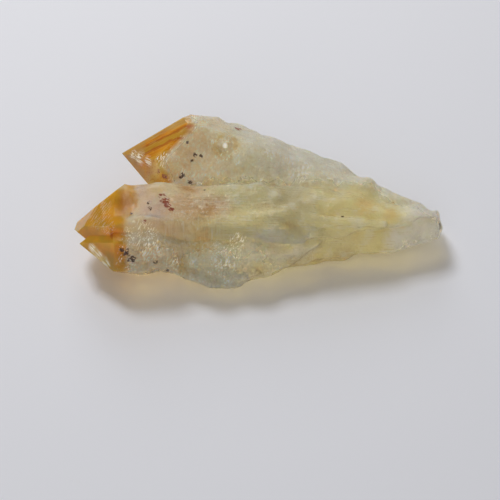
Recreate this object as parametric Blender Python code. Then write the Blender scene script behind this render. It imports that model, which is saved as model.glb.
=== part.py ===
"""Citrine crystal point: two quartz crystals grown side by side, which taper to one broken root.

Run it with   blender --background --python part.py   or from Blender's text editor.

The piece lies as it rests on a table, with the table at Z = 0. Its clear points are at -X and
its root is at +X. Each crystal is a block cut by planes, as quartz grows: the faces that close
its point, its long sides, and the contact faces where its neighbours in the geode stopped it.
The crystals are joined in one solid, and the table's plane cuts off the underside, which leaves
the flat patches that the piece rests on. Everything but the clear faces is then roughened.
"""

from math import atan2, cos, radians, sin

import bmesh
import bpy
from mathutils import Matrix, Vector, noise
from mathutils.bvhtree import BVHTree

MM = 0.001

# Quartz: the angle between a face of the point and the crystal's long axis, and its six sides.
POINT_ANGLE = radians(38.2)
SIDES = 6
SIDE_TURN = 360 // SIDES

# Kinds of face: of a clear point, a long side, a rough contact, and what the piece rests on.
CLEAR, GROWN, CONTACT, RESTING = range(4)
ROUGH_KINDS = (GROWN, CONTACT)
FINISHES = {}  # the material of each kind

# From here on, every length is in millimetres, until MM makes it metres.

# A crystal has a tip, a place that its long axis runs to, and a turn: how far its first side
# looks round that axis, in degrees, from +Y upwards. Each number of its point is how far one
# face stands out from the tip, in order round the axis. Its sides are listed by their turn from
# the first one. A side is a profile: pairs of (place along the axis from the tip, distance out).

ROOT = (29.9, -1.6, 5.0)
BREAK_WAY = (1.0, -0.14, 0.1)  # which way the break at the root looks

UPPER_TIP = (-23.0, 11.4, 9.0)
UPPER_ROOT = (30.0, 2.2, 5.8)
UPPER_TURN = 40
UPPER_POINT = (0.1, 0, 0, 0, 0.6, 0.9)
UPPER_SIDES = {
    0: ((10.3, 8.4), (14, 8.5), (22, 7.5), (54, -0.9)),
    24: ((10, 8.6), (18, 7.9), (54, 0.4)),
    90: ((6.4, 5.8), (20, 6.2), (54, 3.0)),
    150: ((10, 7.6), (30, 7.4), (54, 3.0)),
    180: ((10, 8.4), (30, 8.0), (54, 3.0)),
    240: ((10, 8.6), (30, 7.4), (54, 3.0)),
    300: ((10, 8.3), (24, 7.6), (54, 2.0)),
}

LOWER_TIP = (-30.75, -2.7, 7.3)
LOWER_TURN = 38
LOWER_POINT = (0, 0.7, 0.8, 0.3, 0.6, 0.9)
LOWER_SIDES = {
    0: ((9, 6.8), (44, 6.4), (62, 1.6)),
    35: ((9, 7.3), (42, 6.3), (62, 2.6)),
    60: ((9, 6.4), (40, 6.3), (62, 3.0)),
    90: ((9, 6.8), (28, 6.8), (62, 3.0)),
    120: ((9, 6.0), (32, 5.8), (62, 2.5)),
    180: ((12, 7.0), (17.5, 6.0), (62, 1.6)),
    240: ((9, 7.3), (35, 6.0), (62, 2.2)),
    300: ((9, 7.2), (30, 6.8), (62, 3.0)),
}

# The steep face that takes the lower crystal's tip off: a place on it and the way it looks.
STEEP_FACE_AT = (-30.0, -3.1, 7.0)
STEEP_FACE_WAY = (-0.8, 0.19, 0.57)

# The little point in front of the lower crystal's, grown parallel to it. Its sides are alike.
SMALL_TIP = (-29.3, -6.3, 7.1)
SMALL_POINT = (0, 0.1, 0, 0.1, 0.2, 0.3)
SMALL_SIDE = ((5.6, 4.5), (9, 4.7), (24, 2.2))

# The flank in front, a crystal with no point of its own, which swells out below.
FRONT_START = (-21.0, -5.6, 4.8)
FRONT_END = (12, -5.0, 5.0)
FRONT_TURN = 52
FRONT_LENGTH = 31
FRONT_SIDES = {
    0: ((2, 2.2), (14, 5.6), (27, 3.0)),
    60: ((2, 2.6), (13, 5.2), (19, 5.0), (34, 1.5)),
    120: ((2, 3.0), (12, 6.2), (18, 6.0), (27, 3.2)),
    166: ((2, 2.4), (6, 4.0), (13, 6.2), (17, 6.3), (22, 5.0), (27, 2.6)),
    240: ((2, 3.0), (12, 5.2), (27, 3.6)),
    300: ((2, 3.0), (12, 5.2), (27, 3.6)),
}

# The mass between and in front of the two crystals' roots, which ends in the broken stub.
MASS_START = (-2, -4.0, 4.8)
MASS_END = (30.0, -0.4, 5.0)
MASS_TURN = 38
MASS_SIDES = {
    0: ((0, 4.0), (32, 2.2)),
    60: ((0, 4.5), (32, 2.6)),
    120: ((0, 4.5), (32, 2.8)),
    180: ((0, 4.9), (7.5, 4.8), (28, 3.2)),
    240: ((0, 4.4), (10, 4.2), (32, 2.4)),
    300: ((0, 4.0), (32, 2.8)),
}

# The thin lath that lies along the lower crystal's ridge, with a groove on either side.
LATH_START = (-4.0, -4.3, 12.0)
LATH_END = (21, -4.2, 9.1)
LATH_TURN = 38
LATH_SIDE = ((0, 0.45), (7, 1.15), (14, 1.1), (25, 0.45))

# The round knob on top of the upper crystal.
KNOB_AT = (-5.7, 8.0, 15.1)
KNOB_RADIUS = 1.35

BLOCK = 240  # the raw block that each crystal is cut from

# The roughness of a contact face: how wide its lumps are, and how far they stand out.
LUMPS = ((9.0, 0.7), (4.5, 0.9), (1.9, 0.45))
NOISE_STARTS = ((7.3, 1.9, 4.5), (31.7, 12.1, 8.4), (3.6, 47.2, 22.8))
GROWN_SHARE = 0.45  # a long side is this much as rough as a contact face
FLAT_REACH = 1.6  # how far from a flat face the roughness is held back
GRID = 1.15  # the cells that the rough faces are divided into
GRID_START = 0.63  # where the first plane of the grid is, in cells
SAME_PLACE = 0.01  # corners closer than this are one
KEPT_FACES = 7000


def clear_scene():
    for obj in list(bpy.data.objects):
        bpy.data.objects.remove(obj, do_unlink=True)


def finish(name, colour, roughness):
    made = bpy.data.materials.new(name)
    made.use_nodes = True
    shader = made.node_tree.nodes["Principled BSDF"]
    shader.inputs["Base Color"].default_value = (*colour, 1)
    shader.inputs["Roughness"].default_value = roughness
    shader.inputs["Metallic"].default_value = 0
    return made


def solid(name, work):
    """The object of a finished shape, with the material of each kind of face."""
    mesh = bpy.data.meshes.new(name)
    for kind in sorted(FINISHES):
        mesh.materials.append(FINISHES[kind])
    work.to_mesh(mesh)
    work.free()
    return bpy.data.objects.new(name, mesh)


class Crystal:
    """A block to be cut, with the crystal's own frame: its tip, its long axis, the ways round."""

    def __init__(self, name, tip, root, turn):
        self.name = name
        self.turn = turn
        self.tip = Vector(tip) * MM
        self.axis = (Vector(root) * MM - self.tip).normalized()
        self.back = Vector((0, 0, 1)).cross(self.axis).normalized()
        self.up = self.axis.cross(self.back)
        self.block = bmesh.new()
        bmesh.ops.create_cube(self.block, size=BLOCK * MM)

    def way(self, turn):
        """The way out from the long axis, at a turn from the crystal's first side."""
        angle = radians(self.turn + turn)
        return cos(angle) * self.back + sin(angle) * self.up

    def along(self, distance):
        """The place on the long axis at a distance from the tip."""
        return self.tip + self.axis * distance * MM

    def cut(self, point, normal, kind):
        """Takes away what lies beyond a plane, and closes the cut with one flat face."""
        everything = self.block.verts[:] + self.block.edges[:] + self.block.faces[:]
        opened = bmesh.ops.bisect_plane(
            self.block, geom=everything, plane_co=point, plane_no=normal, clear_outer=True
        )
        rim = [edge for edge in opened["geom_cut"] if isinstance(edge, bmesh.types.BMEdge)]
        if rim:
            for face in bmesh.ops.edgeloop_fill(self.block, edges=rim)["faces"]:
                face.material_index = kind

    def close_point(self, stand_outs):
        """The six faces of the point. One that stands out from the tip is smaller."""
        for side, stand_out in enumerate(stand_outs):
            normal = self.way(SIDE_TURN * side) * cos(POINT_ANGLE) - self.axis * sin(POINT_ANGLE)
            self.cut(self.tip + normal * stand_out * MM, normal, CLEAR)

    def cut_leg(self, turn, near, far, kind):
        """One flat face of a side, from one pair of its profile to the next."""
        way = self.way(turn)
        lean = atan2(near[1] - far[1], far[0] - near[0])
        normal = way * cos(lean) + self.axis * sin(lean)
        self.cut(self.along(near[0]) + way * near[1] * MM, normal, kind)

    def cut_sides(self, sides, first_kind, later_kind=CONTACT):
        """Every side. The first leg of a quartz face, one of the six, has a kind of its own."""
        for turn, profile in sides.items():
            quartz_face = turn % SIDE_TURN == 0
            for leg in range(len(profile) - 1):
                kind = first_kind if quartz_face and leg == 0 else later_kind
                self.cut_leg(turn, profile[leg], profile[leg + 1], kind)

    def finished(self):
        bmesh.ops.remove_doubles(self.block, verts=self.block.verts, dist=SAME_PLACE * MM)
        bmesh.ops.dissolve_degenerate(self.block, edges=self.block.edges, dist=SAME_PLACE * MM)
        bmesh.ops.recalc_face_normals(self.block, faces=self.block.faces)
        return solid(self.name, self.block)


def all_round(profile):
    """Six sides that are alike."""
    return {SIDE_TURN * side: profile for side in range(SIDES)}


def upper_crystal():
    crystal = Crystal("upper_growth", UPPER_TIP, UPPER_ROOT, UPPER_TURN)
    crystal.close_point(UPPER_POINT)
    crystal.cut_sides(UPPER_SIDES, GROWN)
    crystal.cut(Vector(ROOT) * MM, Vector(BREAK_WAY).normalized(), CONTACT)
    return crystal.finished()


def lower_crystal():
    crystal = Crystal("lower_growth", LOWER_TIP, ROOT, LOWER_TURN)
    crystal.close_point(LOWER_POINT)
    crystal.cut(Vector(STEEP_FACE_AT) * MM, Vector(STEEP_FACE_WAY).normalized(), CLEAR)
    crystal.cut_sides(LOWER_SIDES, GROWN)
    crystal.cut(Vector(ROOT) * MM, crystal.axis, CONTACT)
    return crystal.finished()


def small_crystal():
    beside_root = Vector(ROOT) + Vector(SMALL_TIP) - Vector(LOWER_TIP)
    crystal = Crystal("small_growth", SMALL_TIP, beside_root, LOWER_TURN)
    crystal.close_point(SMALL_POINT)
    crystal.cut_sides(all_round(SMALL_SIDE), GROWN)
    crystal.cut(crystal.along(SMALL_SIDE[-1][0]), crystal.axis, CONTACT)
    return crystal.finished()


def front_crystal():
    crystal = Crystal("front_growth", FRONT_START, FRONT_END, FRONT_TURN)
    crystal.cut_sides(FRONT_SIDES, CONTACT)
    crystal.cut(crystal.tip, -crystal.axis, CONTACT)
    crystal.cut(crystal.along(FRONT_LENGTH), crystal.axis, CONTACT)
    return crystal.finished()


def root_mass():
    crystal = Crystal("mass_growth", MASS_START, MASS_END, MASS_TURN)
    crystal.cut_sides(MASS_SIDES, CONTACT)
    crystal.cut(crystal.tip, -crystal.axis, CONTACT)
    crystal.cut(Vector(ROOT) * MM, Vector(BREAK_WAY).normalized(), CONTACT)
    return crystal.finished()


def lath():
    crystal = Crystal("lath_growth", LATH_START, LATH_END, LATH_TURN)
    crystal.cut_sides(all_round(LATH_SIDE), GROWN, GROWN)
    crystal.cut(crystal.tip, -crystal.axis, GROWN)
    crystal.cut(crystal.along(LATH_SIDE[-1][0]), crystal.axis, GROWN)
    return crystal.finished()


def knob():
    work = bmesh.new()
    bmesh.ops.create_icosphere(work, subdivisions=2, radius=KNOB_RADIUS * MM)
    bmesh.ops.translate(work, verts=work.verts, vec=Vector(KNOB_AT) * MM)
    for face in work.faces:
        face.material_index = GROWN
    return solid("knob", work)


def table():
    """A block whose top is the table, to cut away what would reach below it."""
    block = bmesh.new()
    bmesh.ops.create_cube(block, size=BLOCK * MM)
    bmesh.ops.translate(block, verts=block.verts, vec=(0, 0, -BLOCK * MM / 2))
    for face in block.faces:
        face.material_index = RESTING
    return solid("table_cutter", block)


def hide(helper, helpers):
    helpers.objects.link(helper)
    helper.hide_render = True
    helper.display_type = "WIRE"


def combine(whole, other, operation):
    step = whole.modifiers.new(other.name, "BOOLEAN")
    step.operation = operation
    step.solver = "EXACT"
    step.object = other


def apply_modifiers(obj):
    evaluated = obj.evaluated_get(bpy.context.evaluated_depsgraph_get())
    mesh = bpy.data.meshes.new_from_object(evaluated)
    obj.modifiers.clear()
    obj.data = mesh
    mesh.name = obj.name


def rough_faces(work):
    return [face for face in work.faces if face.material_index in ROUGH_KINDS]


def divide(work):
    """Divides the rough faces by a grid of planes, so that they can carry the roughness."""
    for axis in range(3):
        normal = Vector(1 if axis == i else 0 for i in range(3))
        reach = [vert.co[axis] / MM for vert in work.verts]
        for step in range(int((max(reach) - min(reach)) / GRID)):
            rough = rough_faces(work)
            edges = dict.fromkeys(edge for face in rough for edge in face.edges)
            verts = dict.fromkeys(vert for face in rough for vert in face.verts)
            place = normal * (min(reach) + (step + GRID_START) * GRID) * MM
            bmesh.ops.bisect_plane(
                work, geom=[*verts, *edges, *rough], plane_co=place, plane_no=normal
            )
    bmesh.ops.triangulate(work, faces=rough_faces(work))


def ramp(value):
    """Rises smoothly from 0 to 1 as the value does."""
    value = min(max(value, 0), 1)
    return value * value * (3 - 2 * value)


def lumps_at(place):
    """The random field of the roughness: three unlike noises, one for each direction."""
    shift = Vector((0, 0, 0))
    for width, height in LUMPS:
        for axis, start in enumerate(NOISE_STARTS):
            shift[axis] += noise.noise(place / (width * MM) + Vector(start)) * height * MM
    return shift


def clear_faces(work):
    """The clear faces, ready to be asked how far off they are."""
    work.verts.index_update()
    corners = [vert.co for vert in work.verts]
    faces = [face for face in work.faces if face.material_index == CLEAR]
    return BVHTree.FromPolygons(corners, [[vert.index for vert in face.verts] for face in faces])


def roughen(work):
    """Shifts the rough faces' corners by a smooth random field, which dies out at the flats."""
    clear = clear_faces(work)
    for vert in work.verts:
        shift = lumps_at(vert.co)
        kinds = {face.material_index for face in vert.link_faces}
        if CONTACT not in kinds:
            shift *= GROWN_SHARE
        distance = clear.find_nearest(vert.co)[3]
        shift *= ramp(distance / (FLAT_REACH * MM))
        shift.z *= ramp(vert.co.z / (FLAT_REACH * MM))
        vert.co += shift


def thin_out(whole):
    """Takes away the triangles that the shape doesn't need, and keeps the underside flat."""
    fewer = whole.modifiers.new("fewer_triangles", "DECIMATE")
    fewer.ratio = KEPT_FACES / len(whole.data.polygons)
    apply_modifiers(whole)
    for vert in whole.data.vertices:
        if vert.co.z < SAME_PLACE * MM:
            vert.co.z = 0


def stand_on_origin(whole):
    """Puts the origin at the middle of the piece's box, at the height of the table."""
    corners = [vert.co for vert in whole.data.vertices]
    low = Vector(min(corner[i] for corner in corners) for i in range(3))
    high = Vector(max(corner[i] for corner in corners) for i in range(3))
    middle = (low + high) / 2
    whole.data.transform(Matrix.Translation((-middle.x, -middle.y, -low.z)))


def new_collection(name):
    collection = bpy.data.collections.new(name)
    bpy.context.scene.collection.children.link(collection)
    return collection


def joined(growths, cutter, parts):
    """The crystals as one solid, with the table's plane cut off it."""
    whole = bpy.data.objects.new("crystal_point", growths[0].data.copy())
    parts.objects.link(whole)
    for growth in growths[1:]:
        combine(whole, growth, "UNION")
    combine(whole, cutter, "DIFFERENCE")
    apply_modifiers(whole)
    return whole


def main():
    clear_scene()
    helpers = new_collection("growths_and_cutter")
    parts = new_collection("citrine_crystal_point")
    FINISHES[CLEAR] = finish("clear_amber_quartz", (0.80, 0.45, 0.08), 0.05)
    FINISHES[GROWN] = finish("milky_quartz", (0.72, 0.66, 0.48), 0.4)
    FINISHES[CONTACT] = finish("sugary_quartz", (0.75, 0.71, 0.55), 0.55)
    FINISHES[RESTING] = finish("scuffed_quartz", (0.75, 0.71, 0.55), 0.6)

    growths = [
        upper_crystal(),
        lower_crystal(),
        small_crystal(),
        front_crystal(),
        root_mass(),
        lath(),
        knob(),
    ]
    cutter = table()
    for helper in (*growths, cutter):
        hide(helper, helpers)
    whole = joined(growths, cutter, parts)

    work = bmesh.new()
    work.from_mesh(whole.data)
    divide(work)
    roughen(work)
    work.to_mesh(whole.data)
    work.free()
    thin_out(whole)
    stand_on_origin(whole)


if __name__ == "__main__":
    main()
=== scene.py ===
# %% [markdown]
# # A citrine crystal point
#
# This lesson dresses a finished solid: two quartz crystals that grew side by side in a geode,
# clear and amber at their points, milky and sugary down to the broken root. The solid already
# has every size and every main face. What is added here is what light needs: the fine grain,
# the clear and the cloudy quartz, the rust spots, a sheet to lie on and three soft lamps.
#
# Everything is in metres, in the frame of the solid: +X runs from the points to the root, +Z is
# up, and the sheet that the crystal lies on is Z = 0. Sizes that are easier to read in
# millimetres are written so, and MM turns them into metres.

# %% Load the solid

from math import cos, radians, sin

import bmesh
import bpy
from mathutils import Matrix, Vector
from mathutils.bvhtree import BVHTree


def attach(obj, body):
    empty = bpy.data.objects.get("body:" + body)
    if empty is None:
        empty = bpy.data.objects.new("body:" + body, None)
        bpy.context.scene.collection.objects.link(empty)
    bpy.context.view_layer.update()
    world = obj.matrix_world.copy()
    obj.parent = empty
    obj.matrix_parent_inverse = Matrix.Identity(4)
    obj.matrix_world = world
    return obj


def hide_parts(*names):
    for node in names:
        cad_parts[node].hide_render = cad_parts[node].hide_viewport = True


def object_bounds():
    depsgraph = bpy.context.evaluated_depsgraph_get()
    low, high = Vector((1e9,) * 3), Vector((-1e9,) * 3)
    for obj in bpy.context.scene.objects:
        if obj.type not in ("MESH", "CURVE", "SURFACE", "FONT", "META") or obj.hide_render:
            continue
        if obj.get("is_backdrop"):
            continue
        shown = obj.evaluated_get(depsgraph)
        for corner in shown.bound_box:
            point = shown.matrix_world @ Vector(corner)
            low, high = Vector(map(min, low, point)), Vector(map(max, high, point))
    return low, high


MM = 0.001
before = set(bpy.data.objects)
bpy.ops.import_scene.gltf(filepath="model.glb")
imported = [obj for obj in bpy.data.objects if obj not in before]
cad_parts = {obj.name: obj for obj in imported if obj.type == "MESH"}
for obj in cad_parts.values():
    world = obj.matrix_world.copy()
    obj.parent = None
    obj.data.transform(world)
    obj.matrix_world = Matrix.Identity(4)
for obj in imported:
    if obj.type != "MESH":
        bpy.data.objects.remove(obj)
solid_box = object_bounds()
print("the solid's box, mm:", [[round(value / MM, 2) for value in corner] for corner in solid_box])

# %% [markdown]
# ## Where the eye is
#
# The camera looks down on the crystal from the side of its lower point, at 52 degrees above the
# table. It stands a third of a metre off with a long lens, so that the near and the far side
# keep nearly the same scale. Its place is made of a target, a height angle and a distance, since
# each of the three can then be changed without upsetting the other two.

# %% Camera

LOOK_AT = Vector((-1.65, -5.39, 0)) * MM
CAMERA_HEIGHT = radians(52)
CAMERA_DISTANCE = 320 * MM
VIEW_WIDTH = 83.8 * MM  # how much of the table the picture spans at the target
SENSOR = 36
NEAREST_SEEN = 10 * MM

back_to_camera = Vector((0, -cos(CAMERA_HEIGHT), sin(CAMERA_HEIGHT)))
lens = bpy.data.cameras.new("camera")
lens.sensor_width = SENSOR
lens.lens = SENSOR * CAMERA_DISTANCE / VIEW_WIDTH
lens.clip_start = NEAREST_SEEN
camera = bpy.data.objects.new("camera", lens)
camera.location = LOOK_AT + back_to_camera * CAMERA_DISTANCE
camera.rotation_euler = (-back_to_camera).to_track_quat("-Z", "Y").to_euler()
bpy.context.scene.collection.objects.link(camera)
bpy.context.scene.camera = camera
print("lens", round(lens.lens, 1), "mm")

# %% [markdown]
# ## The sheet and the light
#
# The crystal lies on a smooth pale sheet, which could be any matt card. It is one large square,
# so that its edge is far outside every view.

# %% Sheet

SHEET_SIZE = 3.0
SHEET_COLOUR = (0.80, 0.815, 0.875)
SHEET_ROUGHNESS = 0.6


def plain_material(name, colour, roughness):
    material = bpy.data.materials.new(name)
    material.use_nodes = True
    shader = material.node_tree.nodes["Principled BSDF"]
    shader.inputs["Base Color"].default_value = (*colour, 1)
    shader.inputs["Roughness"].default_value = roughness
    return material


def object_from(name, mesh):
    made = bpy.data.objects.new(name, mesh)
    bpy.context.scene.collection.objects.link(made)
    return made


def flat_sheet():
    half = SHEET_SIZE / 2
    mesh = bpy.data.meshes.new("sheet")
    corners = [(-half, -half, 0), (half, -half, 0), (half, half, 0), (-half, half, 0)]
    mesh.from_pydata(corners, [], [(0, 1, 2, 3)])
    mesh.materials.append(plain_material("pale_sheet", SHEET_COLOUR, SHEET_ROUGHNESS))
    return object_from("sheet", mesh)


sheet = flat_sheet()
sheet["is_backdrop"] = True
print("a sheet", SHEET_SIZE, "m wide")

# %% [markdown]
# Two soft lamps stand behind the crystal, which is why it has two shadows: a dark one that hugs
# it and a faint one further out. A wide weak card in front fills the side that faces the eye.
# Area lamps are used because their size sets how soft a shadow's edge is. The near lamp's own
# image would be one hard star on a ridge, so reflections leave it out.

# %% Lamps

LAMP_COLOUR = (1.0, 0.985, 0.96)
LAMP_DISTANCE = 0.5

# Height above the sheet and turn from straight behind are in degrees, and size is in metres.
LAMPS = {
    "near_lamp": {"height": 58, "turn": 34, "size": 0.13, "watts": 1.22, "reflected": False},
    "far_lamp": {"height": 34, "turn": 8, "size": 0.25, "watts": 0.50, "reflected": True},
    "front_card": {"height": 35, "turn": 175, "size": 0.40, "watts": 0.48, "reflected": True},
}


def add_lamp(name, height, turn, size, watts, reflected):
    """A square lamp that faces the middle of the sheet."""
    light = bpy.data.lights.new(name, "AREA")
    light.size = size
    light.energy = watts
    light.color = LAMP_COLOUR
    level = Vector((-sin(radians(turn)), cos(radians(turn)), 0))
    towards = level * cos(radians(height)) + Vector((0, 0, sin(radians(height))))
    holder = object_from(name, light)
    holder.location = towards * LAMP_DISTANCE
    holder.rotation_euler = (-towards).to_track_quat("-Z", "Y").to_euler()
    holder.visible_glossy = reflected


for name, lamp in LAMPS.items():
    add_lamp(name, **lamp)
print(len(LAMPS), "lamps")

# %% [markdown]
# A room's walls send back a little light from all round. The background stands for them, and
# keeps the shadows from going black.

# %% Light from all round

BACKGROUND = (1.0, 0.99, 1.0)
BACKGROUND_STRENGTH = 0.20

world = bpy.data.worlds.new("studio")
world.use_nodes = True
world.node_tree.nodes["Background"].inputs["Color"].default_value = (*BACKGROUND, 1)
world.node_tree.nodes["Background"].inputs["Strength"].default_value = BACKGROUND_STRENGTH
bpy.context.scene.world = world
bpy.context.scene.view_settings.view_transform = "Standard"
print("background", BACKGROUND_STRENGTH)

# %% [markdown]
# ## The crystal's surface
#
# The solid's rough flanks are made of triangles about a millimetre wide. Sugar-like quartz has
# grains far smaller than that, so the surface needs more points to be moved. The points' true
# faces are the opposite: they grew flat as glass, and one moved point would dent them. So the
# flat faces are found first, as groups of joined triangles in one plane, and kept as they are.

# %% Find the flat faces

SAME_POINT = 0.002 * MM
FLAT_WITHIN = cos(radians(1.0))
SMALLEST_FLAT = 5 * MM * MM
UNDERSIDE_REACH = 1 * MM  # a flat group lower than this is part of what the crystal rests on


def loose_copy(node):
    """The solid's own surface, with its loose triangles joined."""
    work = bmesh.new()
    work.from_mesh(node.data)
    bmesh.ops.remove_doubles(work, verts=work.verts, dist=SAME_POINT)
    return work


def plane_group(start, taken):
    """The triangles that join start in one plane."""
    group = [start]
    taken.add(start)
    for face in group:
        for edge in face.edges:
            for other in edge.link_faces:
                if other not in taken and other.normal.dot(start.normal) > FLAT_WITHIN:
                    taken.add(other)
                    group.append(other)
    return group


def flat_groups(work):
    """Every flat face of the solid that is larger than SMALLEST_FLAT."""
    taken = set()
    groups = []
    for face in sorted(work.faces, key=lambda face: -face.calc_area()):
        if face not in taken:
            group = plane_group(face, taken)
            if sum(face.calc_area() for face in group) > SMALLEST_FLAT:
                groups.append(group)
    return groups


def highest(group):
    return max(vert.co.z for face in group for vert in face.verts)


surface = loose_copy(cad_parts["crystal_point"])
flat_layer = surface.faces.layers.int.new("flat")  # 1 on the flat faces, whatever is cut later
flats = flat_groups(surface)
glassy = [group for group in flats if highest(group) > UNDERSIDE_REACH]
resting = [group for group in flats if highest(group) <= SAME_POINT]
for face in [face for group in glassy + resting for face in group]:
    face[flat_layer] = 1
print(len(surface.faces), "triangles:", len(glassy), "glassy faces and", len(resting), "to rest on")

# %% [markdown]
# The rough part is now cut into finer triangles, and its millimetre-wide facets are relaxed into
# rolling lumps. The cut is made by splitting every edge that is too long, a few times over,
# which leaves a short edge as it is and so wastes no points. Points on a flat face stay put.

# %% Cut the rough part finer, and relax it

LONGEST_EDGE = 0.33 * MM
SPLIT_ROUNDS = 4
RELAX_ROUNDS = 14
RELAX_STEP = 0.5


def must_split(edge, layer):
    """Whether an edge is too long and has a rough triangle beside it."""
    rough = any(face[layer] == 0 for face in edge.link_faces)
    return rough and edge.calc_length() > LONGEST_EDGE


def folded_faces(work):
    """Pairs of triangles that lie back to back on the same three points."""
    users = {}
    for face in work.faces:
        users.setdefault(frozenset(face.verts), []).append(face)
    return [face for faces in users.values() if len(faces) > 1 for face in faces]


def cut_finer(work, layer):
    for _ in range(SPLIT_ROUNDS):
        long_edges = [edge for edge in work.edges if must_split(edge, layer)]
        bmesh.ops.subdivide_edges(work, edges=long_edges, cuts=1, use_grid_fill=True)
        bmesh.ops.triangulate(work, faces=[face for face in work.faces if len(face.verts) > 3])
        bmesh.ops.delete(work, geom=folded_faces(work), context="FACES")


def relax(work, layer):
    """Moves each rough point towards the middle of its neighbours."""
    loose = [vert for vert in work.verts if all(face[layer] == 0 for face in vert.link_faces)]
    for _ in range(RELAX_ROUNDS):
        bmesh.ops.smooth_vert(
            work, verts=loose, factor=RELAX_STEP, use_axis_x=True, use_axis_y=True, use_axis_z=True
        )


cut_finer(surface, flat_layer)
relax(surface, flat_layer)
print(len(surface.faces), "triangles after the cut")

# %% [markdown]
# The grain must die out towards the glassy faces, or their edges would fray. Each point
# therefore carries a number, 0 on a flat face and 1 well away from all of them. It is stored on
# the mesh as an attribute called cloud: the grain reads it, and so does the finish, since the
# quartz is cloudy wherever it is rough. A second number, lifted, does the same for the flats
# that the crystal rests on, so that no grain is pushed through the sheet.

# %% Measure how far each point is from the flat faces

CLOUD_REACH = 1.6 * MM
FACES_DOWN = -0.999  # a flat face whose normal has a lower Z than this is one to rest on


def tree_of(work, faces):
    """The faces, ready to be asked how far off they are."""
    work.verts.index_update()
    corners = [vert.co for vert in work.verts]
    return BVHTree.FromPolygons(corners, [[vert.index for vert in face.verts] for face in faces])


def distances(work, layer, down):
    """Each point's distance from the glassy faces, or from those that it rests on."""
    flat = [face for face in work.faces if face[layer] == 1]
    tree = tree_of(work, [face for face in flat if (face.normal.z < FACES_DOWN) == down])
    return [tree.find_nearest(vert.co)[3] for vert in work.verts]


def store(mesh, name, values):
    attribute = mesh.attributes.new(name, "FLOAT", "POINT")
    attribute.data.foreach_set("value", values)


to_glass = distances(surface, flat_layer, down=False)
to_table = distances(surface, flat_layer, down=True)
crystal_mesh = bpy.data.meshes.new("crystal")
surface.to_mesh(crystal_mesh)
surface.free()
store(crystal_mesh, "cloud", [min(distance / CLOUD_REACH, 1) for distance in to_glass])
store(crystal_mesh, "lifted", [min(distance / CLOUD_REACH, 1) for distance in to_table])
crystal = object_from("crystal", crystal_mesh)
print(len(crystal_mesh.vertices), "points")

# %% [markdown]
# ## Short ways to build a node tree
#
# The quartz's finish and its grain are both node trees, and a tree that is joined up one line
# at a time in a script soon becomes hard to read. This small class gives short names to what is
# done again and again: add a node, do a sum, ramp a value, tilt the cells of a crust.

# %% A class for trees

HALF = 0.5  # taken from a number between 0 and 1, it leaves numbers on both sides of 0
HALVES = (HALF, HALF, HALF)
BOTH_WAYS = 2.0  # turns numbers from -0.5 to 0.5 into numbers from -1 to 1


class Tree:
    """A node tree being built, with short ways to add a node and join it up."""

    def __init__(self, tree):
        self.tree = tree

    def feed(self, socket, value):
        """Joins an output to a socket, or sets the socket to a value."""
        if isinstance(value, bpy.types.NodeSocket):
            self.tree.links.new(value, socket)
        else:
            socket.default_value = value

    def add(self, kind, settings=None, **inputs):
        """A node, its settings, and its inputs by name, with _ for a space."""
        node = self.tree.nodes.new(kind)
        for name, value in (settings or {}).items():
            setattr(node, name, value)
        for name, value in inputs.items():
            self.feed(node.inputs[name.replace("_", " ")], value)
        return node

    def math(self, operation, first, second=0.0, third=0.0):
        node = self.add("ShaderNodeMath", {"operation": operation})
        for socket, value in zip(node.inputs, (first, second, third)):
            self.feed(socket, value)
        return node.outputs[0]

    def times(self, first, *others):
        """All of them multiplied."""
        for other in others:
            first = self.math("MULTIPLY", first, other)
        return first

    def largest(self, first, *others):
        """The largest of them."""
        for other in others:
            first = self.math("MAXIMUM", first, other)
        return first

    def vector(self, operation, first, second=(0, 0, 0), scale=None):
        """Vector maths. What comes out is a number for a distance or a dot product."""
        node = self.add("ShaderNodeVectorMath", {"operation": operation})
        self.feed(node.inputs[0], first)
        self.feed(node.inputs[1], second)
        if scale is not None:
            self.feed(node.inputs["Scale"], scale)
        return node.outputs["Value" if operation in ("DISTANCE", "DOT_PRODUCT") else "Vector"]

    def ramp(self, value, low, high, top=1.0, bottom=0.0):
        """Goes from bottom to top as the value goes from low to high, with soft ends."""
        node = self.add("ShaderNodeMapRange", {"interpolation_type": "SMOOTHSTEP"}, Value=value)
        for name, given in {"From Min": low, "From Max": high, "To Min": bottom}.items():
            self.feed(node.inputs[name], given)
        self.feed(node.inputs["To Max"], top)
        return node.outputs["Result"]

    def ramp_straight(self, value, low, high):
        """Goes evenly from 0 to 1 as the value goes from low to high."""
        return self.add("ShaderNodeMapRange", Value=value, From_Min=low, From_Max=high).outputs[0]

    def mix_value(self, share, under, over):
        """under where the share is 0, over where it is 1."""
        return self.math("MULTIPLY_ADD", self.math("SUBTRACT", over, under), share, under)

    def tilted_cells(self, place, width):
        """The rise of a crust of cells about this wide, each tilted its own random way."""
        per_metre = self.math("DIVIDE", 1.0, width)
        cells = self.add("ShaderNodeTexVoronoi", {"feature": "F1"}, Vector=place, Scale=per_metre)
        inside_cell = self.vector("SUBTRACT", place, cells.outputs["Position"])
        turned = self.vector("SUBTRACT", cells.outputs["Color"], HALVES)
        return self.vector("DOT_PRODUCT", inside_cell, turned)


print("a tree can:", ", ".join(name for name in vars(Tree) if not name.startswith("_")))

# %% [markdown]
# ## Where the quartz changes
#
# The finish is one material, because light crosses the whole crystal and has to leave it by the
# same kind of quartz that it came in by. A picture wrapped round the crystal would have to be
# drawn for every side. What changes from place to place is therefore worked out from the Object
# coordinates, in metres, and holds on all sides.
#
# Both crystals need one sum: how far along a crystal a place is from its tip, and how far out
# from its axis. So it is a node group with named inputs, built once and placed twice.

# %% A node group: along and out from a crystal's axis

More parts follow.
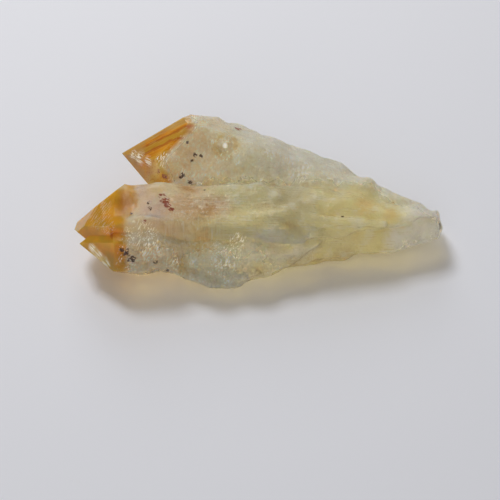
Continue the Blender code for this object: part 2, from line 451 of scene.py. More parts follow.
UPPER_TIP = (-23.14, 8.14, 9.0)
UPPER_AXIS = (0.983, -0.171, -0.059)
LOWER_TIP = (-30.89, -5.96, 7.3)
LOWER_AXIS = (0.999, 0.018, -0.038)


def new_group(name, inputs, outputs):
    """An empty shader group with named sockets: each is a name and a kind of socket."""
    tree = bpy.data.node_groups.new(name, "ShaderNodeTree")
    for in_out, sockets in (("INPUT", inputs), ("OUTPUT", outputs)):
        for socket, kind in sockets.items():
            tree.interface.new_socket(socket, in_out=in_out, socket_type="NodeSocket" + kind)
    made = Tree(tree)
    return made, made.add("NodeGroupInput").outputs, made.add("NodeGroupOutput").inputs


def along_group():
    """Along and out, in millimetres, from a crystal's tip and axis."""
    made, given, answer = new_group(
        "along_a_crystal",
        {"Place": "Vector", "Tip": "Vector", "Axis": "Vector"},
        {"Along": "Float", "Out": "Float"},
    )
    in_mm = made.vector("SCALE", given["Place"], scale=1 / MM)
    from_tip = made.vector("SUBTRACT", in_mm, given["Tip"])
    along = made.vector("DOT_PRODUCT", from_tip, given["Axis"])
    on_axis = made.vector("SCALE", given["Axis"], scale=along)
    made.feed(answer["Along"], along)
    made.feed(answer["Out"], made.vector("DISTANCE", from_tip, on_axis))
    return made.tree


ALONG = along_group()
print("group:", ALONG.name)

# %% [markdown]
# Specks, stains and pale patches are spots of all sizes. A ball round a place would cut the
# surface in a clean circle, which no stain has. So a noise pushes each place about first, and
# the spot's edge comes out ragged.

# %% A node group: a spot with a ragged edge

PUSHES_PER_MM = 1.6
PUSH_DETAIL = 3.0


def mark_group():
    """A spot: 1 at its centre and 0 outside. Sizes are in millimetres."""
    made, given, answer = new_group(
        "mark",
        {
            "Place": "Vector",
            "Centre": "Vector",
            "Radius": "Float",
            "Ragged": "Float",
            "Soft": "Float",
        },
        {"Mask": "Float"},
    )
    in_mm = made.vector("SCALE", given["Place"], scale=1 / MM)
    noise = made.add("ShaderNodeTexNoise", Vector=in_mm, Scale=PUSHES_PER_MM, Detail=PUSH_DETAIL)
    push = made.vector("SUBTRACT", noise.outputs["Color"], HALVES)
    pushed = made.vector("ADD", in_mm, made.vector("SCALE", push, scale=given["Ragged"]))
    distance = made.vector("DISTANCE", pushed, given["Centre"])
    share = made.math("DIVIDE", distance, given["Radius"])
    inner = made.math("SUBTRACT", 1.0, given["Soft"])
    made.feed(answer["Mask"], made.ramp(share, 1.0, inner))
    return made.tree


MARK = mark_group()
print("group:", MARK.name)

# %% [markdown]
# Growth lines, healed cracks and glints are thin and straight and run one way on a face, since
# each follows a plane of the crystal. A noise that is drawn out along one direction gives them
# all: only the direction, the width and the length change.

# %% A node group: streaks that run one way

STREAK_DETAIL = 2.0
STREAK_BEND = 0.4


def streak_group():
    """Short scratches that all run one way: a noise whose high and low parts are the lines."""
    made, given, answer = new_group(
        "streaks",
        {"Place": "Vector", "Way": "Vector", "Width": "Float", "Drawn out": "Float"},
        {"Height": "Float"},
    )
    along = made.vector("DOT_PRODUCT", given["Place"], given["Way"])
    shorter = made.math("SUBTRACT", 1.0, made.math("DIVIDE", 1.0, given["Drawn out"]))
    squeezed = made.vector("SCALE", given["Way"], scale=made.times(along, shorter))
    drawn = made.vector("SUBTRACT", given["Place"], squeezed)
    noise = made.add(
        "ShaderNodeTexNoise",
        Vector=drawn,
        Scale=made.math("DIVIDE", 1.0, given["Width"]),
        Detail=STREAK_DETAIL,
        Distortion=STREAK_BEND,
    )
    made.feed(answer["Height"], noise.outputs[0])
    return made.tree


STREAKS = streak_group()
print("group:", STREAKS.name)

# %% [markdown]
# The finest sugar is smaller than a mesh should carry. It is a height for the bump instead:
# cells that are flat, but tilted each its own way.

# %% A node group: sugar too fine for the mesh


def facet_group():
    """Tilted cells, as a height in millimetres."""
    made, given, answer = new_group(
        "facets", {"Place": "Vector", "Width": "Float", "Tilt": "Float"}, {"Height": "Float"}
    )
    rise = made.tilted_cells(given["Place"], given["Width"])
    made.feed(answer["Height"], made.times(rise, BOTH_WAYS / MM, given["Tilt"]))
    return made.tree


FACETS = facet_group()
print("group:", FACETS.name)

# %% [markdown]
# ## The colours of the quartz
#
# Iron stains the last layers that grew, so the points are amber. Behind them the quartz is a
# pinkish beige, then greenish yellow and clear along the middle, and white and sugary on the
# flanks and at the root. Each colour is mixed over the one before by a mask with a noisy edge,
# from the widest to the smallest, as a painter lays thin coats.

# %% Colours

# The body and its milky parts.
GREENISH = (0.92, 0.84, 0.50)
WHITISH = (0.98, 0.93, 0.74)
PINKISH = (0.98, 0.79, 0.54)
OCHRE = (0.68, 0.53, 0.26)
# Frost white is also the colour of the painted glints and sparkle, and of their painted glow.
FROST_AND_GLINT_WHITE = (1.0, 0.98, 0.84)
CREAM = (1.0, 0.89, 0.64)

# Stains and patches on the body. The khaki is painted shade, for the low front flank by the sheet.
LILAC = (1.0, 0.95, 0.84)
HONEY = (0.95, 0.74, 0.38)
BROWN = (0.68, 0.43, 0.21)
ROSE = (0.82, 0.66, 0.54)
FAWN = (0.82, 0.63, 0.42)
PAINTED_SHADE_KHAKI = (0.66, 0.57, 0.36)
SAGE = (0.76, 0.69, 0.42)
PALE = (1.0, 0.98, 0.98)

# The amber points.
AMBER = (0.95, 0.40, 0.003)
GOLD = (0.88, 0.45, 0.02)
PALE_AMBER = (0.95, 0.68, 0.20)
OLIVE = (0.74, 0.42, 0.02)
SADDLE = (0.58, 0.26, 0.001)
BURNT = (0.58, 0.15, 0.003)
TAN = (0.72, 0.44, 0.12)
STRAW = (0.80, 0.63, 0.38)

# Specks.
RUST = (0.36, 0.08, 0.05)
DARK = (0.07, 0.03, 0.02)
print("the body goes from", GREENISH, "to", WHITISH)

# %% [markdown]
# Small marks have no rule of their own: a crumb of rust sits where it sits. So their places are
# written down one by one, and the spot's node group draws each.

# %% Specks, sparkles and glints

# Each spot: where it is, its radius and how ragged it is, all in millimetres.
DARK_SPECKS = [
    ((-10.7, 4.0, 13.5), 0.50, 0.6),
    ((-9.7, 3.9, 13.4), 0.36, 0.8),
    ((-11.2, 3.0, 13.1), 0.42, 1.0),
    ((-11.9, 5.4, 15.1), 0.36, 1.0),
    ((-13.4, 3.4, 12.7), 0.36, 1.0),
    ((-12.9, 1.3, 11.3), 0.62, 1.1),
    ((-11.5, 0.3, 10.9), 0.55, 1.2),
    ((-10.6, 0.2, 11.0), 0.40, 0.9),
    ((-9.0, -2.8, 12.6), 0.30, 0.7),
    ((-18.0, -6.3, 13.6), 0.42, 1.0),
    ((-17.8, -7.3, 13.4), 0.36, 1.0),
    ((-20.8, -8.4, 13.3), 0.32, 0.8),
    ((-22.3, -13.0, 9.9), 0.55, 1.2),
    ((-21.6, -13.4, 9.5), 0.85, 1.8),
    ((-20.6, -14.0, 8.6), 0.70, 1.8),
    ((-16.9, -13.6, 7.3), 0.40, 0.8),
    ((-15.1, -13.0, 3.9), 0.40, 0.8),
    ((13.5, -6.6, 10.3), 0.36, 0.8),
    ((29.8, -4.8, 5.5), 0.90, 1.8),
]
RUST_SPECKS = [
    ((-15.9, -4.9, 13.5), 0.70, 0.8),
    ((-15.4, -5.7, 13.4), 0.85, 1.0),
    ((-15.0, -6.5, 13.2), 0.75, 0.9),
    ((-14.4, -7.3, 13.0), 0.55, 0.8),
    ((-18.6, -9.9, 13.1), 0.45, 0.9),
    ((-16.7, 2.0, 11.4), 0.60, 1.4),
    ((-15.7, 1.1, 11.3), 0.65, 1.4),
    ((-3.6, 9.4, 14.1), 0.90, 1.8),
]
# Pale feathers of a healed crack, which also get a weak painted glow.
FEATHERED = [((-26.0, -7.0, 11.6), 3.2, 1.2), ((-24.6, -9.6, 11.8), 1.8, 1.0)]
# Bunches of painted sparkle, where cracks flash white.
SPARKLING = [
    ((-19.4, -11.3, 11.2), 3.2, 2.0),
    ((-17.7, -12.7, 9.6), 2.8, 2.0),
    ((-16.0, 3.0, 13.3), 1.6, 1.0),
    ((-5.7, -13.2, 7.9), 3.2, 2.4),
    ((-3.6, -11.0, 9.4), 1.8, 2.0),
    ((6.6, 1.0, 11.8), 1.6, 1.6),
    ((1.5, 3.6, 14.0), 1.5, 1.6),
    ((11.5, 1.5, 11.6), 1.4, 1.6),
    ((-9.9, 8.7, 16.8), 2.2, 1.6),
    ((-14.3, -13.0, 6.6), 1.6, 1.2),
]

# The glints on the points are painted highlights, and have a softness too.
UPPER_GLINTS = [
    ((-21.2, 6.8, 10.3), 1.2, 0.8, 0.8),
    ((-20.0, 5.6, 10.8), 1.6, 0.8, 0.9),
    ((-18.6, 4.2, 11.6), 1.3, 0.8, 0.9),
]
LOWER_GLINTS = [
    ((-27.2, -11.0, 7.6), 1.2, 0.8, 0.9),
    ((-26.2, -12.1, 7.1), 1.5, 0.8, 0.9),
    ((-25.1, -13.2, 6.6), 1.3, 0.8, 0.9),
]
# A painted highlight on the knob.
KNOB_GLINT = [((-5.7, 3.7, 16.1), 0.55, 0.4)]
print(len(DARK_SPECKS), "dark and", len(RUST_SPECKS), "rust-red specks")

# %% [markdown]
# Stains, milky patches and patches of painted shade are wide and soft, and one lies over another,
# so their order counts.

# %% Stains, milky patches and painted shade

# Each patch: its colour, centre, radius, raggedness and softness.
PATCHES = [
    (LILAC, (1.0, -12.0, 7.6), 6.0, 3.0, 0.8),
    (LILAC, (7.0, -11.0, 6.4), 4.0, 2.5, 0.8),
    (LILAC, (5.0, 3.5, 13.0), 7.0, 3.0, 0.8),
    (LILAC, (13.0, 3.0, 11.0), 4.5, 2.5, 0.8),
    (FROST_AND_GLINT_WHITE, (2.5, 7.5, 12.5), 4.0, 2.5, 0.8),
    (FROST_AND_GLINT_WHITE, (9.0, 5.5, 11.0), 4.0, 2.5, 0.8),
    (FROST_AND_GLINT_WHITE, (-3.0, 9.5, 14.0), 3.0, 2.0, 0.8),
    (PALE, (27.5, -5.0, 7.0), 7.0, 2.5, 0.8),
    (ROSE, (-17.0, -7.5, 13.2), 4.0, 1.5, 0.8),
    (ROSE, (-19.8, -3.6, 13.8), 2.6, 0.8, 0.6),
    (FAWN, (-12.2, -6.6, 12.9), 3.6, 2.0, 0.8),
    (FAWN, (-6.6, -6.4, 12.6), 3.2, 2.0, 0.8),
    (FAWN, (-11.0, -2.6, 12.6), 3.0, 1.6, 0.8),
    (CREAM, (-9.0, -12.5, 7.5), 5.0, 2.0, 0.9),
    (CREAM, (0.0, -13.0, 6.6), 4.0, 2.0, 0.9),
    (SAGE, (5.0, -4.6, 12.0), 6.0, 2.0, 0.9),
    # Painted shade: these khaki patches darken the low front flank where it nears the sheet.
    (PAINTED_SHADE_KHAKI, (0.0, -13.7, 4.1), 2.0, 1.6, 0.8),
    (PAINTED_SHADE_KHAKI, (6.5, -11.2, 4.2), 3.6, 2.0, 0.8),
    (PAINTED_SHADE_KHAKI, (10.5, -8.8, 1.8), 3.4, 2.0, 0.8),
    (PAINTED_SHADE_KHAKI, (14.0, -9.4, 3.2), 3.2, 2.0, 0.8),
    (PALE, (23.0, -8.1, 6.2), 3.6, 2.0, 0.8),
    (PALE, (26.4, -7.4, 5.3), 4.2, 2.0, 0.8),
    (HONEY, (17.2, -4.2, 10.4), 3.0, 2.0, 0.8),
    (HONEY, (21.3, -5.4, 9.7), 2.0, 1.5, 0.8),
    (HONEY, (-9.5, -11.0, 9.4), 3.4, 2.0, 0.8),
    (HONEY, (-13.0, -13.4, 6.0), 2.6, 1.6, 0.8),
    (BROWN, (-8.9, -6.4, 12.6), 3.4, 2.0, 0.9),
    (BROWN, (-12.0, -2.6, 12.0), 2.2, 1.6, 0.8),
    (HONEY, (-5.7, 4.2, 15.6), 3.0, 1.0, 0.5),
    (PINKISH, (-5.7, 4.0, 15.9), 1.7, 0.6, 0.4),
]
POINT_PATCHES = [
    (GOLD, (-23.7, -8.4, 13.0), 2.4, 1.4, 0.7),
    (SADDLE, (-21.6, -6.3, 13.2), 3.2, 2.6, 0.9),
    (STRAW, (-22.6, -2.9, 13.7), 1.3, 1.0, 0.8),
    (AMBER, (-23.9, -10.7, 11.1), 2.2, 2.0, 0.9),
    (BURNT, (-23.7, -11.0, 11.0), 0.9, 1.4, 0.9),
    (AMBER, (-22.9, -13.2, 9.7), 2.2, 2.0, 0.9),
    (OLIVE, (-28.0, -9.4, 8.3), 1.8, 1.0, 0.7),
    # Painted reflection: these two pale amber patches on the lower point's bottom edge stand for
    # the pale sheet shown in it.
    (PALE_AMBER, (-26.8, -11.6, 7.3), 1.6, 1.0, 0.6),
    (PALE_AMBER, (-25.4, -13.0, 6.7), 1.6, 1.0, 0.6),
]
print(len(PATCHES), "patches on the body and", len(POINT_PATCHES), "on the lower point")

# %% [markdown]
# Streaks come in ten kinds. They stand in one table, since only three things tell them apart:
# the way they run, how wide they are, and how many times longer than wide they are drawn.

# %% Kinds of streak

STRIA_WAY = (0.0, 0.37, 0.93)

STREAK_KINDS = {
    "growth lines": (STRIA_WAY, 0.35 * MM, 12.0),
    "grooves": (LOWER_AXIS, 0.22 * MM, 24.0),
    "amber stripes": ((0.81, 0.02, 0.58), 0.22 * MM, 14.0),
    "feathers": ((0.55, 0.65, 0.52), 0.12 * MM, 12.0),
    "upper glints": ((0.66, -0.71, 0.24), 0.13 * MM, 16.0),
    "lower glints": ((0.65, -0.68, -0.33), 0.13 * MM, 16.0),
    "cracks": ((0.35, 0.55, 0.76), 0.17 * MM, 6.0),
    "dashes": ((0.86, -0.50, 0.10), 0.22 * MM, 3.5),
    "growth relief": (STRIA_WAY, 0.3 * MM, 8.0),
    "groove relief": (LOWER_AXIS, 0.4 * MM, 14.0),
}
print(len(STREAK_KINDS), "kinds of streak")

# %% [markdown]
# ## Painting with masks
#
# A material's tree needs a few ways more than a plain tree: it places the groups above, and it
# lays one colour over another. The Object coordinates are read once and used by all of them.

# %% A class for the finish

SPOT_SOFTNESS = 0.45


class Finish(Tree):
    """A material's node tree, with ways to mix colours and to place the groups above."""

    def __init__(self, material):
        super().__init__(material.node_tree)
        self.place = self.add("ShaderNodeTexCoord").outputs["Object"]

    def group(self, tree, **inputs):
        node = self.add("ShaderNodeGroup", {"node_tree": tree}, Place=self.place, **inputs)
        return node.outputs

    def mix(self, mask, under, over):
        """One colour over another, as far as the mask goes."""
        node = self.add("ShaderNodeMix", {"data_type": "RGBA"})
        sockets = {socket.name: socket for socket in node.inputs if socket.enabled}
        self.feed(sockets["Factor"], mask)
        for name, colour in (("A", under), ("B", over)):
            self.feed(sockets[name], (*colour, 1) if isinstance(colour, tuple) else colour)
        return [socket for socket in node.outputs if socket.enabled][0]

    def laid(self, colour, over, *masks):
        """The colour with another laid over it, as far as all the masks allow."""
        return self.mix(self.times(*masks), colour, over)

    def noise(self, width, detail):
        """Noise from 0 to 1, its lumps about this wide."""
        node = self.add(
            "ShaderNodeTexNoise", Vector=self.place, Scale=1 / width, Detail=detail
        )
        return node.outputs[0]

    def wander(self, width, detail, reach):
        """How far an edge strays here, in millimetres: half of the reach to either side."""
        return self.math("MULTIPLY_ADD", self.noise(width, detail), reach, -reach / 2)

    def mark(self, centre, radius, ragged, soft=SPOT_SOFTNESS):
        return self.group(MARK, Centre=centre, Radius=radius, Ragged=ragged, Soft=soft)["Mask"]

    def marks(self, marks):
        """One mask for a list of spots."""
        return self.largest(0.0, *[self.mark(*mark) for mark in marks])

    def patched(self, colour, patches):
        for patch_colour, *mark in patches:
            colour = self.mix(self.mark(*mark), colour, patch_colour)
        return colour

    def streaks(self, kind):
        way, width, drawn_out = STREAK_KINDS[kind]
        return self.group(STREAKS, Way=way, Width=width, Drawn_out=drawn_out)["Height"]


quartz = bpy.data.materials.new("citrine")
quartz.use_nodes = True
made = Finish(quartz)
print("the finish can also:", ", ".join(name for name in vars(Finish) if name[0] != "_"))

# %% [markdown]
# Three kinds of quartz share the body. A greenish clear band runs from between the two crystals
# to the root, white sugar lies on both flanks, and a pinkish part follows each amber point. The
# band is found by how far across a place is, and the rest by how far along its crystal it is.
# All of these edges wander, as growth does.

# %% Masks for the body

# Each edge goes from one value to another, in millimetres. A third number is the most it gives.
BAND_MIDDLE = -6.2
BAND_CLOSES = (16.0, 30.0, 6.0)  # towards the root
BAND_EDGE = (3.5, 7.5)
UPPER_SIDE = (10.0, 8.5)
LOWER_SIDE = (10.5, 9.0)
UPPER_PINK_ENDS = (24.0, 12.0)
LOWER_PINK_ENDS = (26.0, 14.0)

upper = made.group(ALONG, Tip=UPPER_TIP, Axis=UPPER_AXIS)
lower = made.group(ALONG, Tip=LOWER_TIP, Axis=LOWER_AXIS)
wander = made.wander(3.5 * MM, 3.0, reach=5.0)
near_upper = made.ramp(upper["Out"], *UPPER_SIDE)
near_lower = made.ramp(lower["Out"], *LOWER_SIDE)
where = made.add("ShaderNodeSeparateXYZ", Vector=made.place).outputs
x_mm = made.times(where["X"], 1 / MM)
y_mm = made.times(where["Y"], 1 / MM)

off_band = made.math("ABSOLUTE", made.math("ADD", y_mm, -BAND_MIDDLE))
off_band = made.math("ADD", off_band, wander)
off_band = made.math("ADD", off_band, made.ramp(x_mm, *BAND_CLOSES))
white = made.ramp(off_band, *BAND_EDGE)

pink_upper = made.ramp(made.math("ADD", upper["Along"], wander), *UPPER_PINK_ENDS)
pink_lower = made.ramp(made.math("ADD", lower["Along"], wander), *LOWER_PINK_ENDS)
pink = made.largest(made.times(pink_upper, near_upper), made.times(pink_lower, near_lower))
print("the band is", 2 * BAND_EDGE[0], "to", 2 * BAND_EDGE[1], "mm wide")

# %% [markdown]
# The amber ends in a different way on each crystal. On the upper one it fills the flat faces and
# stops where the rough starts, which the cloud number tells. On the lower one it stops at a
# ragged line across the crystal, and that line comes forward on the front face.

# %% Masks for the amber

UPPER_AMBER_EDGE = (0.9, 0.2)  # of the cloud number
LOWER_AMBER_EDGE = (11.0, 9.6)
FORWARD_IN_FRONT = (-7.0, -10.0, 1.2)

cloud = made.add("ShaderNodeAttribute", {"attribute_name": "cloud"}).outputs["Fac"]
ragged = made.wander(1.6 * MM, 4.0, reach=3.0)
amber_upper = made.times(made.ramp(cloud, *UPPER_AMBER_EDGE), near_upper)
lower_edge = made.math("ADD", lower["Along"], made.ramp(y_mm, *FORWARD_IN_FRONT))
lower_edge = made.math("ADD", lower_edge, ragged)
amber_lower = made.times(made.ramp(lower_edge, *LOWER_AMBER_EDGE), near_lower)
amber = made.largest(amber_upper, amber_lower)
print("the lower amber ends", LOWER_AMBER_EDGE[0], "mm from its tip")

# %% [markdown]
# The body's plain colours come first, then its stains. Real quartz is never even, so two noises
# go over it: a wide one for milky lumps, and a fine one for frost and dust on the flanks.

# %% The body's colours

# Each of these fades is of a noise from 0 to 1: from, to, and the most that it covers.
MILKY_LUMPS = (0.50, 0.68, 0.45)
DULL_LUMPS = (0.46, 0.30, 0.25)
FROSTED = (0.48, 0.64, 0.6)
DUSTED = (0.44, 0.30, 0.25)

# A spot, in millimetres: its centre, radius, raggedness and softness.
CREAMY_FRONT = ((-4.0, -13.0, 7.0), 11.0, 2.0, 0.6)

mottle = made.noise(2.4 * MM, 5.0)
fine = made.noise(0.5 * MM, 4.0)
colour = made.mix(white, GREENISH, WHITISH)
colour = made.mix(pink, colour, PINKISH)
colour = made.patched(colour, PATCHES)
frost = made.mix(made.mark(*CREAMY_FRONT), FROST_AND_GLINT_WHITE, CREAM)
colour = made.laid(colour, frost, made.ramp(mottle, *MILKY_LUMPS))
colour = made.laid(colour, OCHRE, made.ramp(mottle, *DULL_LUMPS))
colour = made.laid(colour, frost, made.ramp(fine, *FROSTED), white)
colour = made.laid(colour, OCHRE, made.ramp(fine, *DUSTED), white)
print("the body's colours are laid")

# %% [markdown]
# A quartz crystal's sides carry fine growth lines across it. Here they show on the lower
# crystal's front. The clear band has grooves along it instead, where the two crystals met.
# Both are a light and a dark set of streaks from one noise, so that they lie side by side.

# %% Growth lines and grooves

GROWTH_SHOWS = ((-11.5, -10.5, 10.5), 7.5, 1.0, 0.5)  # a spot again
LIGHT_GROWTH = (0.56, 0.66, 0.6)
DARK_GROWTH = (0.46, 0.34, 0.25)
LIGHT_GROOVES = (0.60, 0.68, 0.5)
DARK_GROOVES = (0.42, 0.34, 0.4)
CLEAR_BAND = (0.8, 0.2)
GROOVES_START = (-12.0, -6.0)
GROOVED_LUMPS = (0.44, 0.56)

growth = made.streaks("growth lines")
where_striped = made.mark(*GROWTH_SHOWS)
colour = made.laid(colour, FROST_AND_GLINT_WHITE, made.ramp(growth, *LIGHT_GROWTH), where_striped)
colour = made.laid(colour, BROWN, made.ramp(growth, *DARK_GROWTH), where_striped)
groove = made.streaks("grooves")
in_band = made.times(made.ramp(white, *CLEAR_BAND), made.ramp(x_mm, *GROOVES_START))
in_band = made.times(in_band, made.ramp(mottle, *GROOVED_LUMPS))
colour = made.laid(colour, FROST_AND_GLINT_WHITE, made.ramp(groove, *LIGHT_GROOVES), in_band)
colour = made.laid(colour, OCHRE, made.ramp(groove, *DARK_GROOVES), in_band)
print("growth lines and grooves are laid")

# %% [markdown]
# ## The amber points
#
# The upper point's amber is banded, because the last layers of the crystal grew over one
# another like stripes. A colour ramp across the crystal holds the bands in their true order,
# which no noise would. A little wander keeps them from being ruled lines.

# %% Bands of the upper point

BANDS_ACROSS = (1.0, 12.0)  # from the first band to the last, in millimetres
UPPER_BANDS = [
    (0.00, GOLD),
    (0.12, PALE_AMBER),
    (0.27, GOLD),
    (0.33, AMBER),
    (0.38, AMBER),
    (0.43, BURNT),
    (0.46, OLIVE),
    (0.53, OLIVE),
    (0.57, BURNT),
    (0.61, AMBER),
    (0.68, TAN),
    (1.00, TAN),
]
LIGHT_STRIPES = (0.54, 0.66, 0.4)
DARK_STRIPES = (0.44, 0.34, 0.45)
TAN_TIP = (-18.8, -20.2, 0.8)
ANYWHERE = 0.5  # where a new stop waits for its own place

upper_bands = made.add("ShaderNodeValToRGB")
bands = upper_bands.color_ramp
bands.interpolation = "EASE"
while len(bands.elements) < len(UPPER_BANDS):
    bands.elements.new(ANYWHERE)
for element, (position, band_colour) in zip(bands.elements, UPPER_BANDS):
    element.position = position
    element.color = (*band_colour, 1)
across = made.math("ADD", y_mm, made.wander(1.2 * MM, 3.0, reach=1.0))
made.feed(upper_bands.inputs["Fac"], made.ramp_straight(across, *BANDS_ACROSS))

stripe = made.streaks("amber stripes")
upper_amber = upper_bands.outputs["Color"]
upper_amber = made.laid(upper_amber, PALE_AMBER, made.ramp(stripe, *LIGHT_STRIPES))
upper_amber = made.laid(upper_amber, BURNT, made.ramp(stripe, *DARK_STRIPES))
at_tip = made.ramp(made.math("ADD", x_mm, ragged), *TAN_TIP)
upper_amber = made.mix(at_tip, upper_amber, TAN)
print(len(UPPER_BANDS), "stops in the upper point's bands")

# %% [markdown]
# The lower point is olive and gold in soft lumps, with stains near its rough end. A healed crack
# inside it shows as pale feathers.

# %% The lower point

OLIVE_TO_GOLD = (0.42, 0.60)
FEATHERS_SHOW = (0.54, 0.63)
FEATHER_COVER = 0.50

lower_amber = made.mix(made.ramp(made.noise(1.8 * MM, 4.0), *OLIVE_TO_GOLD), OLIVE, GOLD)
lower_amber = made.patched(lower_amber, POINT_PATCHES)
feathers = made.ramp(made.streaks("feathers"), *FEATHERS_SHOW)
feathers = made.times(feathers, made.marks(FEATHERED))
lower_amber = made.laid(lower_amber, FROST_AND_GLINT_WHITE, feathers, FEATHER_COVER)
colour = made.mix(amber, colour, made.mix(near_upper, lower_amber, upper_amber))
print("the points are amber")

# %% [markdown]
# ## Glints, cracks and specks
#
# Cracks and tiny faces flash white where they happen to throw a lamp back. A grain that fine
# doesn't flash reliably from the mesh, so the flashes are painted: short streaks, bunched where
# the crystal has many cracks and thinly scattered over its milky flanks.

# %% Glints and cracks

GLINTS_SHOW = (0.44, 0.58)
CRACK_GLINTS_SHOW = (0.55, 0.63)
SCATTERED_SHOW = (0.60, 0.66)
SCATTERED_LUMPS = (0.46, 0.56)
SCATTERED_FLANKS = (0.4, 0.9)

glinting = made.marks(KNOB_GLINT)
for kind, glints in {"upper glints": UPPER_GLINTS, "lower glints": LOWER_GLINTS}.items():
    glint = made.ramp(made.streaks(kind), *GLINTS_SHOW)
    glinting = made.largest(glinting, made.times(made.marks(glints), glint))
colour = made.mix(glinting, colour, FROST_AND_GLINT_WHITE)

# The sparkle is painted highlight: crack streaks that flash white, and glow a little.
crack = made.streaks("cracks")
sparkle = made.times(made.ramp(crack, *CRACK_GLINTS_SHOW), made.marks(SPARKLING))
scattered = made.times(
    made.ramp(crack, *SCATTERED_SHOW),
    cloud,
    made.ramp(mottle, *SCATTERED_LUMPS),
    made.ramp(white, *SCATTERED_FLANKS),
)
sparkle = made.largest(sparkle, scattered)
colour = made.mix(sparkle, colour, FROST_AND_GLINT_WHITE)
print(len(SPARKLING), "bunches of cracks")

# %% [markdown]
# The specks go on last, because nothing lies over them. They are crumbs, not discs, so dashes
# break each spot up.

# %% Specks

DASHES_SHOW = (0.38, 0.46)

broken = made.ramp(made.streaks("dashes"), *DASHES_SHOW)
colour = made.laid(colour, RUST, made.marks(RUST_SPECKS), broken)
colour = made.laid(colour, DARK, made.marks(DARK_SPECKS), broken)
print("colours mixed with", len(DARK_SPECKS) + len(RUST_SPECKS), "specks")

# %% [markdown]
# ## How light goes through it
#
# Quartz bends light by an index of 1.544. About half of what meets the surface goes in, which is
# the transmission. The rest is scattered just under the skin, which makes the quartz look milky
# and costs far less time than a cloud of bubbles inside. The cracks, glints and feathers get a
# weak painted glow of their own, which stands for the flash of a lamp.

# %% The shader

QUARTZ_INDEX = 1.544
THROUGH = 0.48
MILK_DEPTH = 4 * MM
MILK_REACH = (1.0, 0.85, 0.6)
GLINT_STRENGTH = 0.30
FEATHER_GLOW = 0.2
NO_GLOW = (0.0, 0.0, 0.0)

shader = quartz.node_tree.nodes["Principled BSDF"]
shader.inputs["IOR"].default_value = QUARTZ_INDEX
shader.inputs["Transmission Weight"].default_value = THROUGH
shader.inputs["Subsurface Weight"].default_value = 1.0
shader.inputs["Subsurface Scale"].default_value = MILK_DEPTH
shader.inputs["Subsurface Radius"].default_value = MILK_REACH
shader.inputs["Emission Strength"].default_value = GLINT_STRENGTH
made.feed(shader.inputs["Base Color"], colour)
glow = made.largest(sparkle, glinting, made.times(feathers, FEATHER_GLOW))
made.feed(shader.inputs["Emission Color"], made.mix(glow, NO_GLOW, FROST_AND_GLINT_WHITE))
print("index", QUARTZ_INDEX, "and", THROUGH, "of the light goes through")

# %% [markdown]
# The flat faces are glassy and the rough ones dull. The cloud number makes the step between
# them, and the white flanks are a little duller than the clear band. Under the amber even the
# rough parts keep some of their polish.

# %% Roughness

# Each goes from the first value to the second, with the top and then the bottom of what it gives.
MATTE_IN_AMBER = (0.0, 1.0, 0.45, 1.0)
ROUGH_ON_FLANKS = (0.0, 1.0, 0.16, 0.10)
ROUGH_AT_EDGES = (0.1, 0.6, 0.12, 0.05)

matte = made.times(cloud, made.ramp(amber, *MATTE_IN_AMBER))
rough = made.times(matte, made.ramp(white, *ROUGH_ON_FLANKS))
rough = made.math("ADD", rough, made.ramp(matte, *ROUGH_AT_EDGES))
made.feed(shader.inputs["Roughness"], rough)
print("roughness from", ROUGH_AT_EDGES[3], "to", ROUGH_ON_FLANKS[2] + ROUGH_AT_EDGES[2])

# %% [markdown]
# Some relief is too fine for the mesh: two sizes of sugar, growth lines, grooves and the lips
# of cracks. Their heights are summed in millimetres and go to one Bump node.

# %% Fine relief

SUGAR = {"Width": 0.55 * MM, "Tilt": 0.36}
CRUMBS = {"Width": 0.30 * MM, "Tilt": 0.32}
SUGAR_ON_FLANKS = (0.0, 1.0, 1.0, 0.35)
RELIEF_HEIGHTS = {"growth relief": 0.12, "groove relief": 0.14}
CRACK_HEIGHT = 0.10

sugar = made.group(FACETS, **SUGAR)["Height"]
crumbs = made.group(FACETS, **CRUMBS)["Height"]
relief = made.times(made.math("ADD", sugar, crumbs), made.ramp(white, *SUGAR_ON_FLANKS))
for kind, height in RELIEF_HEIGHTS.items():
    relief = made.math("MULTIPLY_ADD", made.streaks(kind), height, relief)
relief = made.math("MULTIPLY_ADD", sparkle, CRACK_HEIGHT, relief)
relief = made.times(relief, matte)
bump = made.add("ShaderNodeBump", Strength=1.0, Distance=MM, Height=relief)
made.feed(shader.inputs["Normal"], bump.outputs["Normal"])
print("relief heights, mm:", RELIEF_HEIGHTS, "and", CRACK_HEIGHT, "for cracks")

# %% [markdown]
# Inside, a plain absorption warms the light, the same everywhere. A lamp's rays would stop at
# the surface and leave a black shadow. Following each one through the glass takes far too long,
# so about a third of them are let straight in, with the quartz's own tint.

# %% Absorption, and the way in for a lamp's rays

ABSORBED = (0.98, 0.90, 0.45)
ABSORPTION = 36.0
WINDOW = (0.95, 0.76, 0.15)
LET_IN = 0.34

output = quartz.node_tree.nodes["Material Output"]
absorb = made.add("ShaderNodeVolumeAbsorption", Color=(*ABSORBED, 1), Density=ABSORPTION)
made.feed(output.inputs["Volume"], absorb.outputs[0])

window = made.add("ShaderNodeBsdfTransparent", Color=(*WINDOW, 1))
for_lamps = made.times(made.add("ShaderNodeLightPath").outputs["Is Shadow Ray"], LET_IN)
mixed = made.add("ShaderNodeMixShader")
for socket, value in zip(mixed.inputs, (for_lamps, shader.outputs[0], window.outputs[0])):
    made.feed(socket, value)
made.feed(output.inputs["Surface"], mixed.outputs[0])
print("a lamp's rays let in:", LET_IN)

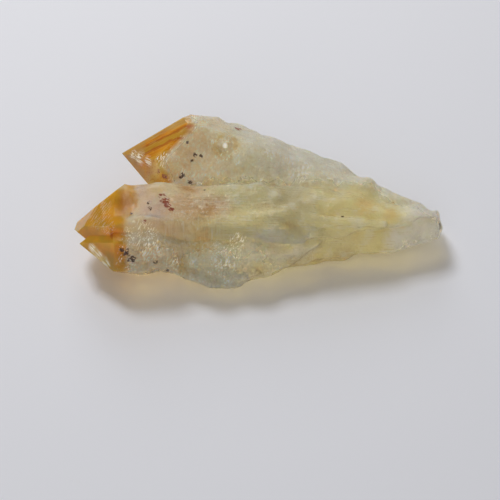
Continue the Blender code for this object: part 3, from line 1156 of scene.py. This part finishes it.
# %% [markdown]
# ## Sugar grain
#
# A broken or crowded quartz face is a crust of tiny crystals, each with its own flat faces
# turned its own way. That is a rule that repeats over the whole surface, so Geometry Nodes make
# it. A Voronoi texture shares the space out in cells. Every cell gets a random direction, and
# its points are pushed out by how far they lie along it, which makes each cell one tilted
# facet. A wide noise then makes the crust thick in one place and thin in another, and the
# clear band keeps only a part of it.

# %% The grain's node tree

GRAIN_INPUTS = {
    "Grain width": 0.7 * MM,
    "Grain tilt": 0.10,
    "Swell width": 2.6 * MM,
    "Swell height": 0.16 * MM,
    "Band middle": -5.5 * MM,
    "Band half width": 6.5 * MM,
    "Grain left in the band": 0.25,
}
GRAIN_RETURNS = (0.6, 1.1)  # in half widths of the band
SWELL_DETAIL = 2.0


def grain_height(made, given, place):
    """How far each point is pushed out, before the grain dies out at the flat faces."""
    tilt = made.times(made.tilted_cells(place, given["Grain width"]), BOTH_WAYS)
    tilted = made.times(tilt, given["Grain tilt"])

    across = made.add("ShaderNodeSeparateXYZ", Vector=place).outputs["Y"]
    off_band = made.math("ABSOLUTE", made.math("SUBTRACT", across, given["Band middle"]))
    off_band = made.math("DIVIDE", off_band, given["Band half width"])
    share = made.ramp(off_band, *GRAIN_RETURNS)
    share = made.mix_value(share, given["Grain left in the band"], 1.0)

    per_metre = made.math("DIVIDE", 1.0, given["Swell width"])
    noise = made.add("ShaderNodeTexNoise", Vector=place, Scale=per_metre, Detail=SWELL_DETAIL)
    swell = made.math("SUBTRACT", noise.outputs[0], HALF)
    swollen = made.times(swell, given["Swell height"], BOTH_WAYS)
    return made.math("ADD", made.times(tilted, share), swollen)


def grain_tree():
    tree = bpy.data.node_groups.new("sugar_grain", "GeometryNodeTree")
    made = Tree(tree)
    tree.interface.new_socket("Geometry", in_out="INPUT", socket_type="NodeSocketGeometry")
    for name in GRAIN_INPUTS:
        tree.interface.new_socket(name, in_out="INPUT", socket_type="NodeSocketFloat")
    tree.interface.new_socket("Material", in_out="INPUT", socket_type="NodeSocketMaterial")
    tree.interface.new_socket("Geometry", in_out="OUTPUT", socket_type="NodeSocketGeometry")
    given = made.add("NodeGroupInput").outputs
    place = made.add("GeometryNodeInputPosition").outputs["Position"]
    normal = made.add("GeometryNodeInputNormal").outputs["Normal"]
    cloud = made.add("GeometryNodeInputNamedAttribute", Name="cloud").outputs["Attribute"]
    lifted = made.add("GeometryNodeInputNamedAttribute", Name="lifted").outputs["Attribute"]

    height = made.times(grain_height(made, given, place), cloud, lifted)
    offset = made.vector("SCALE", normal, scale=height)
    moved = made.add("GeometryNodeSetPosition", Geometry=given["Geometry"], Offset=offset)
    real = made.add("GeometryNodeRealizeInstances", Geometry=moved.outputs[0])
    dressed = made.add(
        "GeometryNodeSetMaterial", Geometry=real.outputs[0], Material=given["Material"]
    )
    made.add("NodeGroupOutput", Geometry=dressed.outputs[0])
    return tree


GRAIN = grain_tree()
print("tree:", GRAIN.name, "with", len(GRAIN.nodes), "nodes")

# %% [markdown]
# The tree runs as a modifier on the crystal. Its result is kept as a plain mesh and the modifier
# goes, so that what is seen, what is measured and what is exported are the same triangles.

# %% Run the tree on the crystal


def apply_tree(obj, tree, values):
    """Runs a node tree on an object with these named values, and keeps the plain mesh."""
    step = obj.modifiers.new(tree.name, "NODES")
    step.node_group = tree
    for item in tree.interface.items_tree:
        if item.in_out == "INPUT" and item.name in values:
            step[item.identifier] = values[item.name]
    evaluated = obj.evaluated_get(bpy.context.evaluated_depsgraph_get())
    mesh = bpy.data.meshes.new_from_object(evaluated)
    obj.modifiers.clear()
    obj.data = mesh


apply_tree(crystal, GRAIN, {**GRAIN_INPUTS, "Material": quartz})
print("grain on", len(crystal.data.polygons), "triangles")

# %% [markdown]
# ## Hand over
#
# The crystal is one piece that stands for the solid and moves with it, as the real one is one
# stone. Both boxes are written down, so that the dressed crystal's size can be compared with the
# solid's.

# %% Finish

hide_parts("crystal_point")
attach(crystal, "root")
boxes = {"solid": solid_box, "visual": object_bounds()}
for name, box in boxes.items():
    print(name, "box, mm:", [[round(value / MM, 2) for value in corner] for corner in box])
